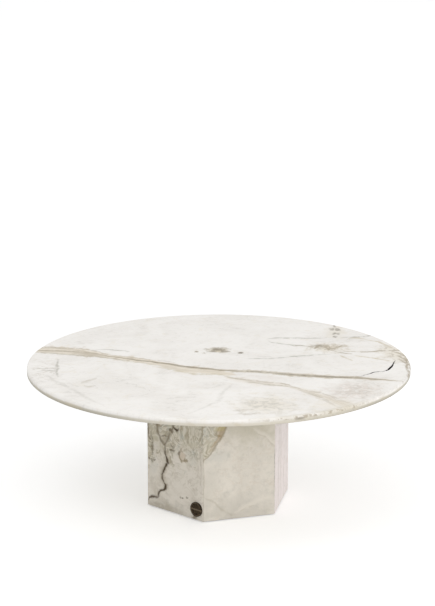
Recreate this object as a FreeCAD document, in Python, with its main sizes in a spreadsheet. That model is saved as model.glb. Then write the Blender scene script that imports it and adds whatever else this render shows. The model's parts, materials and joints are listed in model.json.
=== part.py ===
import FreeCAD, Part
import os
import Sketcher

# A round stone cocktail table: a thin disc on a hollow six-sided pedestal of mitred panels.
# Millimetres, +Z up, -Y to the front. The origin lies on the floor under the centre of the top.
# The pedestal's corners are on the ends of the X axis, and one of its panels faces the front.

SIZES = {
    # The round top
    "table_height": 450,
    "top_diameter": 1200,
    "top_thickness": 20,
    "top_edge_radius": 6,
    "top_underside_bevel": 2,
    # The six stone panels
    "pedestal_side": 235,
    "panel_thickness": 20,
    "panel_arris": 1.5,
    "mitre_gap": 0.4,
    "floor_gap": 3,
    # Clear pads between the panels' upper ends and the top
    "bumper_length": 30,
    "bumper_width": 12,
    "bumper_thickness": 1.5,
    # Plywood bulkheads glued inside the panels
    "bulkhead_thickness": 18,
    "bulkhead_gap": 0.3,
    "upper_bulkhead_drop": 5,
    "hand_hole_diameter": 110,
    # Timber posts glued behind the mitres
    "post_leg": 45,
    "post_depth": 14,
    "post_gap": 0.3,
    # Bolts, washers and inserts that hold the top down
    "bolt_circle": 240,
    "bolt_diameter": 8,
    "bolt_clearance": 0.5,
    "bolt_head_width": 13,
    "bolt_head_height": 5.5,
    "bolt_engagement": 10,
    "washer_width": 30,
    "washer_thickness": 3,
    "insert_width": 12,
    "insert_length": 12,
    "insert_clearance": 0.15,
    "thread_clearance": 0.05,
    # Levelling feet
    "foot_from_corner": 47,
    "pad_width": 40,
    "pad_height": 9,
    "cup_depth": 4,
    "cup_clearance": 0.2,
    "cup_gap": 0.1,
    "stem_head_width": 14,
    "stem_head_height": 7,
    "stem_diameter": 10,
    "stem_clearance": 0.5,
    "stop_gap": 0.3,
    "foot_travel": 12,
    "nut_width": 17,
    "nut_height": 8,
    "nut_clearance": 0.1,
    # The round plate near the foot of one panel
    "medallion_diameter": 46,
    "medallion_thickness": 5,
    "medallion_rim": 3,
    "medallion_recess": 1,
    "medallion_bar_height": 5,
    "medallion_bar_rise": 0.6,
    "medallion_height": 39,
    "medallion_from_corner": 25.5,
}

SIDES = 6
BOLTS = 3
STEP = 360 / SIDES
COS_HALF = f"cos({STEP / 2} deg)"
SIN_HALF = f"sin({STEP / 2} deg)"
TAN_HALF = f"tan({STEP / 2} deg)"

# The panels and the corners between them, counted anticlockwise by steps of one side
PANELS = ("front", "front_right", "back_right", "back", "back_left", "front_left")
CORNERS = ("right", "back_right", "back_left", "left", "front_left", "front_right")
MEDALLION_PANEL = "front_left"

# Plan sizes of the pedestal, from the centre outwards
OUTER_APOTHEM = f"(Sizes.pedestal_side * {COS_HALF})"
INNER_APOTHEM = f"({OUTER_APOTHEM} - Sizes.panel_thickness)"
MITRE_SETBACK = f"(Sizes.mitre_gap / 2 / {COS_HALF})"
POST_APEX = f"(({INNER_APOTHEM} - Sizes.post_gap) / {COS_HALF})"
BOLT_PLACE = ("Sizes.bolt_circle / 2", "0", "0")
FOOT_PLACE = (f"({INNER_APOTHEM} / {COS_HALF} - Sizes.foot_from_corner)", "0", "0")
MEDALLION_ACROSS = "(Sizes.pedestal_side / 2 - Sizes.medallion_from_corner)"

# Heights above the floor, from the foot pads up to the top
STEM_BASE = "(Sizes.pad_height - Sizes.cup_depth + Sizes.cup_gap)"
LOWER_BULKHEAD_BASE = f"({STEM_BASE} + Sizes.stem_head_height + Sizes.stop_gap)"
LOWER_BULKHEAD_TOP = f"({LOWER_BULKHEAD_BASE} + Sizes.bulkhead_thickness)"
STEM_TOP = f"({LOWER_BULKHEAD_BASE} + Sizes.nut_height + Sizes.foot_travel)"
SLAB_UNDERSIDE = "(Sizes.table_height - Sizes.top_thickness)"
PANEL_TOP = f"({SLAB_UNDERSIDE} - Sizes.bumper_thickness)"
UPPER_BULKHEAD_TOP = f"({PANEL_TOP} - Sizes.upper_bulkhead_drop)"
UPPER_BULKHEAD_BASE = f"({UPPER_BULKHEAD_TOP} - Sizes.bulkhead_thickness)"
WASHER_BASE = f"({UPPER_BULKHEAD_BASE} - Sizes.washer_thickness)"

HERE = ("0", "0", "0")
UP = FreeCAD.Vector(0, 0, 1)
NEAR = 1e-6

doc = FreeCAD.newDocument("CocktailTable")
sheet = doc.addObject("Spreadsheet::Sheet", "Sizes")
for row, (alias, number) in enumerate(SIZES.items(), start=1):
    sheet.set(f"A{row}", alias)
    sheet.set(f"B{row}", str(number))
    sheet.setAlias(f"B{row}", alias)
doc.recompute()


def value(expression):
    """The number that an expression on the sheet comes to."""
    return float(sheet.evalExpression(expression))


def new_body(label, turn=0.0, height="0", group=False):
    """A sub-part turned about the table's axis and lifted to a height; a group holds several solids."""
    body = doc.addObject("PartDesign::Body", label)
    body.Label = label
    body.AllowCompound = group
    body.Placement = FreeCAD.Placement(FreeCAD.Vector(), FreeCAD.Rotation(UP, turn))
    body.setExpression("Placement.Base.z", height)
    return body


def origin_feature(body, role):
    """The body's own origin plane or axis."""
    return next(item for item in body.Origin.OriginFeatures if item.Role == role)


def new_sketch(body, role, offset):
    """A sketch on an origin plane, shifted along the sketch's own three axes."""
    sketch = body.newObject("Sketcher::SketchObject", "Sketch")
    sketch.AttachmentSupport = [(origin_feature(body, role), "")]
    sketch.MapMode = "FlatFace"
    for axis, shift in zip("xyz", offset):
        sketch.setExpression(f"AttachmentOffset.Base.{axis}", shift)
    return sketch


def bind(sketch, constraint, expression):
    """Add a constraint whose size comes from the sheet."""
    index = sketch.addConstraint(constraint)
    sketch.setExpression(f"Constraints[{index}]", expression)


def polygon(body, role, corners, offset=HERE):
    """A sketch of one closed outline, each corner held at its distances from the sketch's origin."""
    sketch = new_sketch(body, role, offset)
    points = [FreeCAD.Vector(value(x), value(y), 0) for x, y in corners]
    for start, end in zip(points, points[1:] + points[:1]):
        sketch.addGeometry(Part.LineSegment(start, end), False)
    for index, place in enumerate(corners):
        following = (index + 1) % len(corners)
        sketch.addConstraint(Sketcher.Constraint("Coincident", index, 2, following, 1))
        for kind, expression in zip(("DistanceX", "DistanceY"), place):
            bind(sketch, Sketcher.Constraint(kind, -1, 1, index, 1, value(expression)), expression)
    return sketch


def circle(body, role, diameter, offset=HERE):
    """A sketch of one circle about the sketch's origin."""
    sketch = new_sketch(body, role, offset)
    size = value(diameter)
    sketch.addGeometry(Part.Circle(FreeCAD.Vector(), UP, size / 2), False)
    sketch.addConstraint(Sketcher.Constraint("Coincident", 0, 3, -1, 1))
    bind(sketch, Sketcher.Constraint("Diameter", 0, size), diameter)
    return sketch


def rectangle(length, width):
    """The corners of a rectangle about the sketch's origin."""
    x = f"({length}) / 2"
    y = f"({width}) / 2"
    return [(f"-{x}", f"-{y}"), (x, f"-{y}"), (x, y), (f"-{x}", y)]


def hexagon(width):
    """The corners of a hexagon of this width across its flats, the first on the sketch's X axis."""
    radius = f"(({width}) / 2 / {COS_HALF})"
    angles = [STEP * index for index in range(SIDES)]
    return [(f"{radius} * cos({angle} deg)", f"{radius} * sin({angle} deg)") for angle in angles]


def pad(body, sketch, length, reverse=False):
    """Material along the sketch's normal, or against it."""
    feature = body.newObject("PartDesign::Pad", "Pad")
    feature.Profile = sketch
    feature.setExpression("Length", length)
    feature.Reversed = reverse
    return feature


def pocket(body, sketch, depth, upwards=True):
    """A cut against the sketch's normal or, for a sketch on the underside, upwards along it."""
    feature = body.newObject("PartDesign::Pocket", "Pocket")
    feature.Profile = sketch
    feature.setExpression("Length", depth)
    feature.Reversed = upwards
    return feature


def revolve(body, sketch, axis="V_Axis"):
    """A full turn of a sketch about one of its own axes."""
    feature = body.newObject("PartDesign::Revolution", "Revolution")
    feature.Profile = sketch
    feature.ReferenceAxis = (sketch, [axis])
    feature.Angle = 360
    return feature


def repeat(body, features, count):
    """Repeat features evenly about the table's axis."""
    pattern = body.newObject("PartDesign::PolarPattern", "PolarPattern")
    pattern.Originals = features
    pattern.Axis = (origin_feature(body, "Z_Axis"), [""])
    pattern.Angle = 360
    pattern.Occurrences = count
    body.Tip = pattern


def edges_where(feature, chosen):
    """The names of a feature's edges whose bounding boxes pass a test."""
    doc.recompute()
    edges = enumerate(feature.Shape.Edges, start=1)
    return [f"Edge{index}" for index, edge in edges if chosen(edge.BoundBox)]


def fillet(body, base, chosen, radius):
    """Round the chosen edges."""
    feature = body.newObject("PartDesign::Fillet", "Fillet")
    feature.Base = (base, edges_where(base, chosen))
    feature.setExpression("Radius", radius)
    return feature


def chamfer(body, base, chosen, size):
    """Bevel the chosen edges."""
    feature = body.newObject("PartDesign::Chamfer", "Chamfer")
    feature.Base = (base, edges_where(base, chosen))
    feature.setExpression("Size", size)
    return feature


def make_top_slab():
    """The stone disc, with a rounded rim and blind holes underneath for the inserts."""
    body = new_body("top_slab", height=SLAB_UNDERSIDE)
    disc = pad(body, circle(body, "XY_Plane", "Sizes.top_diameter"), "Sizes.top_thickness")
    rounded = fillet(body, disc, lambda box: box.ZMin > NEAR, "Sizes.top_edge_radius")
    chamfer(body, rounded, lambda box: box.ZMax < NEAR, "Sizes.top_underside_bevel")
    diameter = f"Sizes.insert_width / {COS_HALF} + 2 * Sizes.insert_clearance"
    depth = "Sizes.insert_length + Sizes.insert_clearance"
    hole = pocket(body, circle(body, "XY_Plane", diameter, BOLT_PLACE), depth)
    repeat(body, [hole], BOLTS)


def make_panel(name, turn):
    """One stone panel, with mitred sides and eased outer edges."""
    body = new_body(f"panel_{name}", turn, "Sizes.floor_gap")
    outer = f"(Sizes.pedestal_side / 2 - {MITRE_SETBACK})"
    inner = f"({INNER_APOTHEM} * {TAN_HALF} - {MITRE_SETBACK})"
    plan = [
        (f"-{outer}", f"-{OUTER_APOTHEM}"),
        (outer, f"-{OUTER_APOTHEM}"),
        (inner, f"-{INNER_APOTHEM}"),
        (f"-{inner}", f"-{INNER_APOTHEM}"),
    ]
    slab = pad(body, polygon(body, "XY_Plane", plan), f"{PANEL_TOP} - Sizes.floor_gap")
    face = -value(OUTER_APOTHEM) + NEAR
    chamfer(body, slab, lambda box: box.YMax < face, "Sizes.panel_arris")


def make_medallion(turn):
    """The round plate bonded to one panel, with a raised rim and a plain bar across its face."""
    body = new_body("medallion", turn)
    radius = "Sizes.medallion_diameter / 2"
    face = "-Sizes.medallion_thickness"
    floor = f"({face} + Sizes.medallion_recess)"
    rim = f"({radius} - Sizes.medallion_rim)"
    section = [("0", "0"), ("0", radius), (face, radius), (face, rim), (floor, rim), (floor, "0")]
    place = (f"-{OUTER_APOTHEM}", "Sizes.medallion_height", MEDALLION_ACROSS)
    revolve(body, polygon(body, "YZ_Plane", section, place), "H_Axis")
    length = f"2 * ({rim})"
    bar = rectangle(length, "Sizes.medallion_bar_height")
    place = (MEDALLION_ACROSS, "Sizes.medallion_height", f"{OUTER_APOTHEM} - {floor}")
    pad(body, polygon(body, "XZ_Plane", bar, place), "Sizes.medallion_bar_rise")


def make_bulkhead(label, height):
    """A plywood hexagon that fits inside the panels."""
    body = new_body(label, height=height)
    outline = hexagon(f"2 * ({INNER_APOTHEM} - Sizes.bulkhead_gap)")
    pad(body, polygon(body, "XY_Plane", outline), "Sizes.bulkhead_thickness")
    return body


def make_upper_bulkhead():
    """The upper bulkhead, drilled for the bolts."""
    body = make_bulkhead("upper_bulkhead", UPPER_BULKHEAD_BASE)
    diameter = "Sizes.bolt_diameter + 2 * Sizes.bolt_clearance"
    hole = pocket(body, circle(body, "XY_Plane", diameter, BOLT_PLACE), "Sizes.bulkhead_thickness")
    repeat(body, [hole], BOLTS)


def make_lower_bulkhead():
    """The lower bulkhead, with a hand hole and, at each corner, a nut pocket and a hole for the stem."""
    body = make_bulkhead("lower_bulkhead", LOWER_BULKHEAD_BASE)
    pocket(body, circle(body, "XY_Plane", "Sizes.hand_hole_diameter"), "Sizes.bulkhead_thickness")
    outline = hexagon("Sizes.nut_width + 2 * Sizes.nut_clearance")
    seat = pocket(body, polygon(body, "XY_Plane", outline, FOOT_PLACE), "Sizes.nut_height")
    diameter = "Sizes.stem_diameter + 2 * Sizes.stem_clearance"
    hole = pocket(body, circle(body, "XY_Plane", diameter, FOOT_PLACE), "Sizes.bulkhead_thickness")
    repeat(body, [seat, hole], SIDES)


def make_corner_post(name, turn):
    """A timber post that backs one mitre, between the bulkheads."""
    body = new_body(f"corner_post_{name}", turn, LOWER_BULKHEAD_TOP)
    end = (f"({POST_APEX} - Sizes.post_leg * {SIN_HALF})", f"(Sizes.post_leg * {COS_HALF})")
    back = (f"({end[0]} - Sizes.post_depth * {COS_HALF})", f"({end[1]} - Sizes.post_depth * {SIN_HALF})")
    plan = [(POST_APEX, "0"), end, back, (back[0], f"-{back[1]}"), (end[0], f"-{end[1]}")]
    pad(body, polygon(body, "XY_Plane", plan), f"{UPPER_BULKHEAD_BASE} - {LOWER_BULKHEAD_TOP}")


def make_drilled_ring(label, outline, place, thickness, bore, height, count):
    """Equal flat pieces about the table's axis, each with a round hole, as one sub-part."""
    body = new_body(label, height=height, group=True)
    blank = pad(body, polygon(body, "XY_Plane", outline, place), thickness)
    hole = pocket(body, circle(body, "XY_Plane", bore, place), thickness)
    repeat(body, [blank, hole], count)


def make_top_inserts():
    """Hexagonal threaded inserts bonded into the underside of the top."""
    outline = hexagon("Sizes.insert_width")
    bore = "Sizes.bolt_diameter + 2 * Sizes.thread_clearance"
    make_drilled_ring(
        "top_inserts", outline, BOLT_PLACE, "Sizes.insert_length", bore, SLAB_UNDERSIDE, BOLTS
    )


def make_top_washers():
    """Square plate washers under the upper bulkhead."""
    outline = rectangle("Sizes.washer_width", "Sizes.washer_width")
    bore = "Sizes.bolt_diameter + 2 * Sizes.bolt_clearance"
    make_drilled_ring(
        "top_washers", outline, BOLT_PLACE, "Sizes.washer_thickness", bore, WASHER_BASE, BOLTS
    )


def make_top_bolts():
    """Hexagon-headed bolts from the upper bulkhead into the top's inserts."""
    body = new_body("top_bolts", height=WASHER_BASE, group=True)
    outline = polygon(body, "XY_Plane", hexagon("Sizes.bolt_head_width"), BOLT_PLACE)
    head = pad(body, outline, "Sizes.bolt_head_height", reverse=True)
    length = f"{SLAB_UNDERSIDE} + Sizes.bolt_engagement - {WASHER_BASE}"
    shank = pad(body, circle(body, "XY_Plane", "Sizes.bolt_diameter", BOLT_PLACE), length)
    repeat(body, [head, shank], BOLTS)


def make_bumpers():
    """Clear pads between the middle of each panel's upper end and the top."""
    body = new_body("bumpers", height=PANEL_TOP, group=True)
    place = ("0", f"Sizes.panel_thickness / 2 - {OUTER_APOTHEM}", "0")
    outline = polygon(body, "XY_Plane", rectangle("Sizes.bumper_length", "Sizes.bumper_width"), place)
    repeat(body, [pad(body, outline, "Sizes.bumper_thickness")], SIDES)


def make_foot_nuts():
    """Captive nuts in the underside of the lower bulkhead, one for each levelling foot."""
    outline = hexagon("Sizes.nut_width")
    bore = "Sizes.stem_diameter + 2 * Sizes.thread_clearance"
    make_drilled_ring(
        "foot_nuts", outline, FOOT_PLACE, "Sizes.nut_height", bore, LOWER_BULKHEAD_BASE, SIDES
    )


def make_foot_pad(name, turn):
    """A six-sided foot with a round cup in which the stem's head turns."""
    body = new_body(f"foot_pad_{name}", turn)
    pad(body, polygon(body, "XY_Plane", hexagon("Sizes.pad_width"), FOOT_PLACE), "Sizes.pad_height")
    diameter = f"Sizes.stem_head_width / {COS_HALF} + 2 * Sizes.cup_clearance"
    mouth = circle(body, "XY_Plane", diameter, (FOOT_PLACE[0], "0", "Sizes.pad_height"))
    pocket(body, mouth, "Sizes.cup_depth", upwards=False)


def make_foot_stem(name, turn):
    """A threaded stem whose hexagon head stands in the pad's cup and takes a spanner above it."""
    body = new_body(f"foot_stem_{name}", turn)
    place = (FOOT_PLACE[0], "0", STEM_BASE)
    head = polygon(body, "XY_Plane", hexagon("Sizes.stem_head_width"), place)
    pad(body, head, "Sizes.stem_head_height")
    pad(body, circle(body, "XY_Plane", "Sizes.stem_diameter", place), f"{STEM_TOP} - {STEM_BASE}")


def check(objects):
    """Stop before anything is written if a feature failed, cut nothing or left a bad shape."""
    for item in objects:
        if "Invalid" in item.State or "Error" in item.State:
            raise RuntimeError(f"{item.Name} of {item.TypeId} failed: {item.State}")
        if item.TypeId == "PartDesign::Pocket" and item.Shape.Volume > item.BaseFeature.Shape.Volume - NEAR:
            raise RuntimeError(f"{item.Name} cuts nothing")
        if item.TypeId == "PartDesign::Body" and (item.Shape.isNull() or not item.Shape.isValid()):
            raise RuntimeError(f"{item.Label} has no valid shape")


make_top_slab()
for index, name in enumerate(PANELS):
    make_panel(name, STEP * index)
make_medallion(STEP * PANELS.index(MEDALLION_PANEL))
make_upper_bulkhead()
make_lower_bulkhead()
for index, name in enumerate(CORNERS):
    make_corner_post(name, STEP * index)
    make_foot_pad(name, STEP * index)
    make_foot_stem(name, STEP * index)
make_top_inserts()
make_top_washers()
make_top_bolts()
make_bumpers()
make_foot_nuts()

doc.recompute()
check(doc.Objects)
os.makedirs("parts", exist_ok=True)
for body in doc.findObjects("PartDesign::Body"):
    body.Shape.exportStep(f"parts/{body.Label}.step")
    box = body.Shape.BoundBox
    print(f"{body.Label}: {len(body.Shape.Solids)} solids, z {box.ZMin:.2f} to {box.ZMax:.2f}")
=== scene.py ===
import json
import math

import bmesh
import bpy
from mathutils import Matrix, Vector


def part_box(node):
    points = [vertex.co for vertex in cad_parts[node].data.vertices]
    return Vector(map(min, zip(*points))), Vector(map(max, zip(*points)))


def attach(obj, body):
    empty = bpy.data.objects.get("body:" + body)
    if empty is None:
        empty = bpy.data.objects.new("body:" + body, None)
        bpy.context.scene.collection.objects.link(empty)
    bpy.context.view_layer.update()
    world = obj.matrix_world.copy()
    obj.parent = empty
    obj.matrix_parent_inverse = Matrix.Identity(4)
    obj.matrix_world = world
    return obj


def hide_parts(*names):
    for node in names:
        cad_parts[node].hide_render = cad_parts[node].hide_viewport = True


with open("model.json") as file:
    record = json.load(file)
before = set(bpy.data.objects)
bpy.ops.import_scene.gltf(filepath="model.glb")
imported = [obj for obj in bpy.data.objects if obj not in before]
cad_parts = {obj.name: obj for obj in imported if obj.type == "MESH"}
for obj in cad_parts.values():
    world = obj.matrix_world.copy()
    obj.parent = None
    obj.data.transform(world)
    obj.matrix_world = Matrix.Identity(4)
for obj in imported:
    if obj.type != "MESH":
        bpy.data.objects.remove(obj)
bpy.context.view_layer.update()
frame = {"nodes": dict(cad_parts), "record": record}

# A round marble cocktail table on a six-sided pedestal. Lengths are in metres.
CORNERS = ("right", "back_right", "back_left", "left", "front_left", "front_right")
TOP_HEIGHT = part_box("top_slab")[1].z
TOP_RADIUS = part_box("top_slab")[1].x
RIM_ROUND = 0.006
BORDER_START = TOP_RADIUS - 0.020
BORDER_FULL = TOP_RADIUS - 0.004
UNDERSIDE_END = TOP_RADIUS - 0.016
RIM_START = TOP_RADIUS - 0.008
PEDESTAL_HOLLOW = 0.18
PLY_THICKNESS = 0.0026
MEDALLION_RIM = 0.003
MEDALLION_BAR = 0.005

# The joint beside the front panel runs just outside the panel's eased edge.
PANEL_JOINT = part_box("panel_front")[1].x + 0.0005

# A levelling stem. The rows of points of its thread start some spare turns below the rod.
HEAD_SIDES = 6
STEM_HEAD_HEIGHT = 0.007
STEM_DIAMETER = 0.010
THREAD_DEPTH = 0.0007
THREAD_ROWS = 2
THREAD_SPARE_TURNS = 2
THREAD_STEPS = 24
MERGE_DISTANCE = 1e-6

# The top's bedding runs from left to right in the view, a little turned from the X axis.
BEDDING_TURN = math.radians(18)

# How marks wander: the scales of the noise, coarse to fine, and how far each moves a place.
TOP_WANDER = ((5, 0.035), (24, 0.016), (90, 0.006))
PANEL_WANDER = ((10, 0.022), (45, 0.010), (120, 0.006))

# How often streaks change along a whole line, and how close contour lines lie.
STREAK_CHANGES = 4
CONTOUR_DENSITY = 38

# The camera at the photograph's angle. The lens and the sensor are in millimetres.
CAMERA_PLACE = (-1.8281, -5.6064, 2.1395)
CAMERA_PITCH = math.radians(75.744)
CAMERA_TURN = math.radians(-18.0225)
CAMERA_LENS = 116.03
CAMERA_SENSOR = 36

# The studio: the world's strength as light and as it is seen, and the floor, lifted to white.
WORLD_LIGHT = 0.76
WORLD_SEEN = 1
FLOOR_SIZE = 60
FLOOR_PAPER = (0.86, 0.86, 0.86, 1)
FLOOR_LIFT = 0.35

# Where a colour mix node keeps its sockets.
MIX_FACTOR = 0
MIX_FIRST = 6
MIX_SECOND = 7
MIX_RESULT = 2


def screen(red, green, blue):
    """A colour written in screen values from 0 to 255, as the linear values that shaders take."""
    shares = [value / 255 for value in (red, green, blue)]
    return tuple(((share + 0.055) / 1.055) ** 2.4 for share in shares) + (1,)


# Colours of the top.
TOP_WHITE = screen(247, 244, 239)
TOP_GREY = screen(238, 234, 228)
# The rim's beige and grey serve as painted shade on the slab's edge and underside; the beige is also a stain
# colour along the border.
RIM_BEIGE = screen(214, 207, 191)
RIM_SHADE_GREY = screen(180, 175, 160)
PALE_BEIGE = screen(226, 216, 195)
BAND_BEIGE = screen(225, 211, 185)
BEIGE = screen(203, 190, 163)
LILAC = screen(217, 204, 192)
CRACK = screen(24, 21, 19)

# Colours of the panels.
PANEL_CREAM = screen(237, 230, 218)
PANEL_GREY = screen(215, 209, 196)
PANEL_SAND = screen(226, 219, 207)
PANEL_GREEN = screen(201, 194, 171)
PANEL_LILAC = screen(250, 240, 238)
TAN = screen(196, 168, 134)
FLINT = screen(190, 194, 188)
OLIVE = screen(200, 188, 142)

# Colours of both.
GREY = screen(177, 173, 161)
MOSS = screen(180, 170, 147)
BROWN = screen(155, 139, 109)
DARK_BROWN = screen(110, 96, 70)
UMBER = screen(84, 71, 55)


class Graph:
    """The nodes of one material, with short calls for the kinds that are used most."""

    def __init__(self, name):
        self.material = bpy.data.materials.new(name)
        self.material.use_nodes = True
        self.tree = self.material.node_tree
        self.shader = self.tree.nodes["Principled BSDF"]
        self.place = self.add("ShaderNodeTexCoord").outputs["Object"]

    def feed(self, node, inputs):
        """Link or set a node's inputs."""
        for name, value in inputs.items():
            if isinstance(value, bpy.types.NodeSocket):
                self.tree.links.new(value, node.inputs[name])
            else:
                node.inputs[name].default_value = value

    def add(self, kind, inputs=None, **settings):
        """A new node."""
        node = self.tree.nodes.new(kind)
        for name, setting in settings.items():
            setattr(node, name, setting)
        self.feed(node, inputs or {})
        return node

    def finish(self, **inputs):
        """Feed the shader and hand over the material."""
        self.feed(self.shader, {name.replace("_", " "): value for name, value in inputs.items()})
        return self.material

    def math(self, operation, *values):
        """One step of arithmetic."""
        return self.add("ShaderNodeMath", dict(enumerate(values)), operation=operation).outputs[0]

    def both(self, first, second):
        """Where two shares meet."""
        return self.math("MULTIPLY", first, second)

    def most(self, *shares):
        """The strongest of several shares."""
        strongest = shares[0]
        for share in shares[1:]:
            strongest = self.math("MAXIMUM", strongest, share)
        return strongest

    def ranged(self, share, low, high):
        """A share from 0 to 1 as a value from low to high."""
        return self.math("MULTIPLY_ADD", share, high - low, low)

    def fade(self, value, none, full, smooth=True):
        """0 where the value is at the first mark and 1 at the second."""
        kind = "SMOOTHSTEP" if smooth else "LINEAR"
        inputs = {"Value": value, "From Min": none, "From Max": full}
        return self.add("ShaderNodeMapRange", inputs, interpolation_type=kind).outputs["Result"]

    def span(self, value, rise, fall):
        """1 between two slopes, each given by its marks for 0 and for 1."""
        return self.both(self.fade(value, *rise), self.fade(value, *fall))

    def off(self, value, middle):
        """How far a value is from a middle one."""
        return self.math("ABSOLUTE", self.math("SUBTRACT", value, middle))

    def curve(self, value, points):
        """A smooth curve through points between 0 and 1."""
        node = self.add("ShaderNodeFloatCurve", {"Value": value})
        line = node.mapping.curves[0]
        while len(line.points) < len(points):
            line.points.new(1, 1)
        for point, place in zip(line.points, points):
            point.location = place
        node.mapping.update()
        return node.outputs["Value"]

    def mapped(self, place, turn=0, stretch=(1, 1, 1)):
        """The place stretched and turned about Z."""
        inputs = {"Vector": place, "Rotation": (0, 0, turn), "Scale": stretch}
        return self.add("ShaderNodeMapping", inputs).outputs["Vector"]

    def noise(self, place, scale, detail=4, roughness=0.5, distortion=0, output="Fac"):
        """Soft noise around 0.5."""
        inputs = {
            "Vector": place,
            "Scale": scale,
            "Detail": detail,
            "Roughness": roughness,
            "Distortion": distortion,
        }
        return self.add("ShaderNodeTexNoise", inputs).outputs[output]

    def warped(self, place, scale, amount):
        """The place moved about by noise, so that lines wander."""
        wander = self.noise(place, scale, output="Color")
        centred = self.add("ShaderNodeVectorMath", {0: wander, 1: (0.5, 0.5, 0.5)}, operation="SUBTRACT")
        inputs = {0: centred.outputs[0], 1: (amount, amount, amount), 2: place}
        return self.add("ShaderNodeVectorMath", inputs, operation="MULTIPLY_ADD").outputs[0]

    def parts(self, place):
        """The three parts of a place."""
        return self.add("ShaderNodeSeparateXYZ", {"Vector": place}).outputs

    def mix(self, factor, first, second):
        """Two colours mixed."""
        node = self.add("ShaderNodeMix", data_type="RGBA")
        self.feed(node, {MIX_FACTOR: factor, MIX_FIRST: first, MIX_SECOND: second})
        return node.outputs[MIX_RESULT]

    def bump(self, height, distance, strength):
        """A relief from a height."""
        inputs = {"Height": height, "Distance": distance, "Strength": strength}
        return self.add("ShaderNodeBump", inputs).outputs["Normal"]


class Stone(Graph):
    """A marble that is coloured layer by layer.

    Its marks are placed on the face, as points to the right and up in metres. Up is away from the
    viewer on a face that lies flat. Noise moves the places about, so that the marks look grown.
    """

    def __init__(self, name, turn, standing, wander, ground):
        super().__init__(name)
        right, away, height = self.parts(self.mapped(self.place, turn=turn))
        up = height if standing else away
        self.plain = right, up
        self.face = self.add("ShaderNodeCombineXYZ", {"X": right, "Y": up}).outputs[0]
        for scale, amount in wander:
            self.face = self.warped(self.face, scale, amount)
        self.spot = self.parts(self.face)
        self.ragged = self.ranged(self.noise(self.place, 35, detail=6, roughness=0.65), -0.2, 2.2)
        self.broken = self.fade(self.noise(self.face, 45, roughness=0.65), 0.3, 0.55)
        self.clouds = self.noise(self.place, 5, detail=6, roughness=0.6, distortion=0.8)
        self.colour = self.mix(self.fade(self.clouds, 0.35, 0.7), *ground)

    def lay(self, share, colour, strength=1.0):
        """Lay a colour over what is there."""
        self.colour = self.mix(self.math("MULTIPLY", share, strength), self.colour, colour)

    def speckle(self, share, colour, strength):
        """Lay a colour that shows in broken flecks."""
        self.lay(self.both(share, self.broken), colour, strength)

    def follow(self, line):
        """How far along a line a place is, from 0 to 1, and how far to the side of it."""
        reaches = [abs(line[-1][part] - line[0][part]) for part in (0, 1)]
        run = reaches.index(max(reaches))
        side = 1 - run
        start = line[0][run]
        length = line[-1][run] - start
        low = min(point[side] for point in line)
        rise = max(point[side] for point in line) - low
        share = self.fade(self.spot[run], start, start + length, smooth=False)
        bends = [((point[run] - start) / length, (point[side] - low) / rise) for point in line]
        middle = self.math("MULTIPLY_ADD", self.curve(share, bends), rise, low)
        return share, self.math("SUBTRACT", self.spot[side], middle)

    def vein(self, line, reach, taper=(0, 1, 1, 0), soft=1.0):
        """How much a vein shows: in full on its line and not at all beyond its reach.

        The taper gives shares of the reach at even steps. A vein that doesn't taper to 0 at an end
        runs straight on from there to the edge of the stone.
        """
        share, offset = self.follow(line)
        steps = [(index / (len(taper) - 1), width) for index, width in enumerate(taper)]
        width = self.math("MULTIPLY", self.curve(share, steps), reach)
        distance = self.math("MULTIPLY", self.math("ABSOLUTE", offset), self.ragged)
        return self.fade(self.math("SUBTRACT", width, distance), 0, reach * soft)

    def streaks(self, line, fineness):
        """Streaks that run along with a line."""
        share, offset = self.follow(line)
        along = self.math("MULTIPLY", share, STREAK_CHANGES)
        beside = self.math("MULTIPLY", offset, fineness)
        flow = self.add("ShaderNodeCombineXYZ", {"X": along, "Y": beside}).outputs[0]
        return self.fade(self.noise(flow, 1, roughness=0.6), 0.42, 0.6)

    def patch(self, middle, size, turn=0, core=0.15):
        """How much a cloudy patch shows: in full in the core of an ellipse, and fading to its rim."""
        inputs = {
            "Vector": self.face,
            "Location": (*middle, 0),
            "Rotation": (0, 0, turn),
            "Scale": (*size, 1),
        }
        local = self.add("ShaderNodeMapping", inputs, vector_type="TEXTURE").outputs["Vector"]
        length = self.add("ShaderNodeVectorMath", {0: local}, operation="LENGTH").outputs["Value"]
        return self.fade(self.both(length, self.ragged), 1, core)

    def threads(self, scale, width, stretch=(1, 1, 1)):
        """Thin wandering lines, where noise crosses its middle value."""
        place = self.mapped(self.face, stretch=stretch)
        field = self.noise(place, scale, detail=6, roughness=0.6, distortion=0.5)
        return self.fade(self.off(field, 0.5), width, 0)

    def polish(self, hollow, least_roughness):
        """Hand over the stone, honed, with fine pits, and sunk and dull along its cracks."""
        pits = self.math("MULTIPLY", self.noise(self.place, 900, detail=2), 0.25)
        height = self.math("SUBTRACT", pits, hollow)
        return self.finish(
            Base_Color=self.colour,
            Roughness=self.ranged(self.clouds, least_roughness, least_roughness + 0.15),
            Specular_IOR_Level=self.math("MULTIPLY", self.fade(hollow, 1, 0), 0.5),
            Normal=self.bump(height, distance=0.0004, strength=0.35),
        )


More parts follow.
